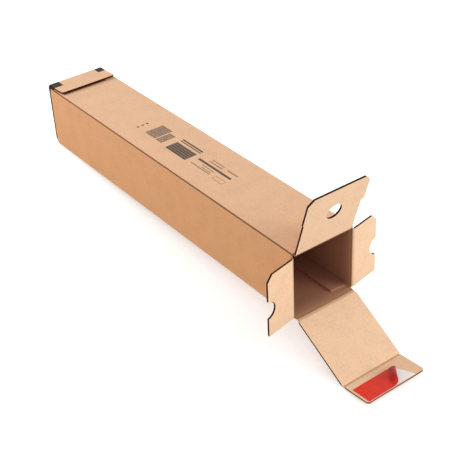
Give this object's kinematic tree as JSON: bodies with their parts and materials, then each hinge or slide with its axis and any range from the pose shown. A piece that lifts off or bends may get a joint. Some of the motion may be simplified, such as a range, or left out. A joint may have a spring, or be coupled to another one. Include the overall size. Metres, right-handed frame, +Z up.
{
  "type": "mailing tube",
  "caption": "Long square mailing tube of brown corrugated board with a closed rear, an open mouth, folding flaps and a self-sealing lid.",
  "frame": {"origin": "on the floor, below the middle of the whole object", "axes": "+Y from the open mouth to the closed rear, +Z up, +X to the right seen from the mouth"},
  "size_m": [0.2198, 0.856, 0.2695],
  "materials": {
    "kraft_board": "brown kraft corrugated board, matt",
    "adhesive": "white self-adhesive strip",
    "red_liner": "red silicone release paper, satin"
  },
  "bodies": {
    "sleeve": {"sleeve": "kraft_board", "rear_adhesive_strip": "adhesive"},
    "top_flap": {"top_flap": "kraft_board"},
    "left_flap": {"left_flap": "kraft_board"},
    "right_flap": {"right_flap": "kraft_board"},
    "lid": {"lid": "kraft_board"},
    "closure_tab": {"closure_tab": "kraft_board", "adhesive_strip": "adhesive", "release_liner": "red_liner"}
  },
  "joints": [
    {"name": "left_flap_fold", "type": "hinge", "parent": "sleeve", "child": "left_flap", "pos_m": [-0.0555, -0.26524, 0.10752], "axis": [0, -0.0737, -0.9973], "range_deg": [-169.5, 35.5]},
    {"name": "right_flap_fold", "type": "hinge", "parent": "sleeve", "child": "right_flap", "pos_m": [0.0555, -0.26524, 0.10752], "axis": [0, 0.0737, 0.9973], "range_deg": [-190.5, 14.5]},
    {"name": "top_flap_fold", "type": "hinge", "parent": "sleeve", "child": "top_flap", "pos_m": [0, -0.26434, 0.1631], "axis": [-1, 0, 0], "range_deg": [-162.5, 42.5]},
    {"name": "lid_fold", "type": "hinge", "parent": "sleeve", "child": "lid", "pos_m": [0, -0.27571, 0.05264], "axis": [1, 0, 0], "range_deg": [-101, 84]},
    {"name": "closure_tab_fold", "type": "hinge", "parent": "lid", "child": "closure_tab", "pos_m": [0, -0.37838, 0.00084], "axis": [1, 0, 0], "range_deg": [-39, 126]}
  ]
}
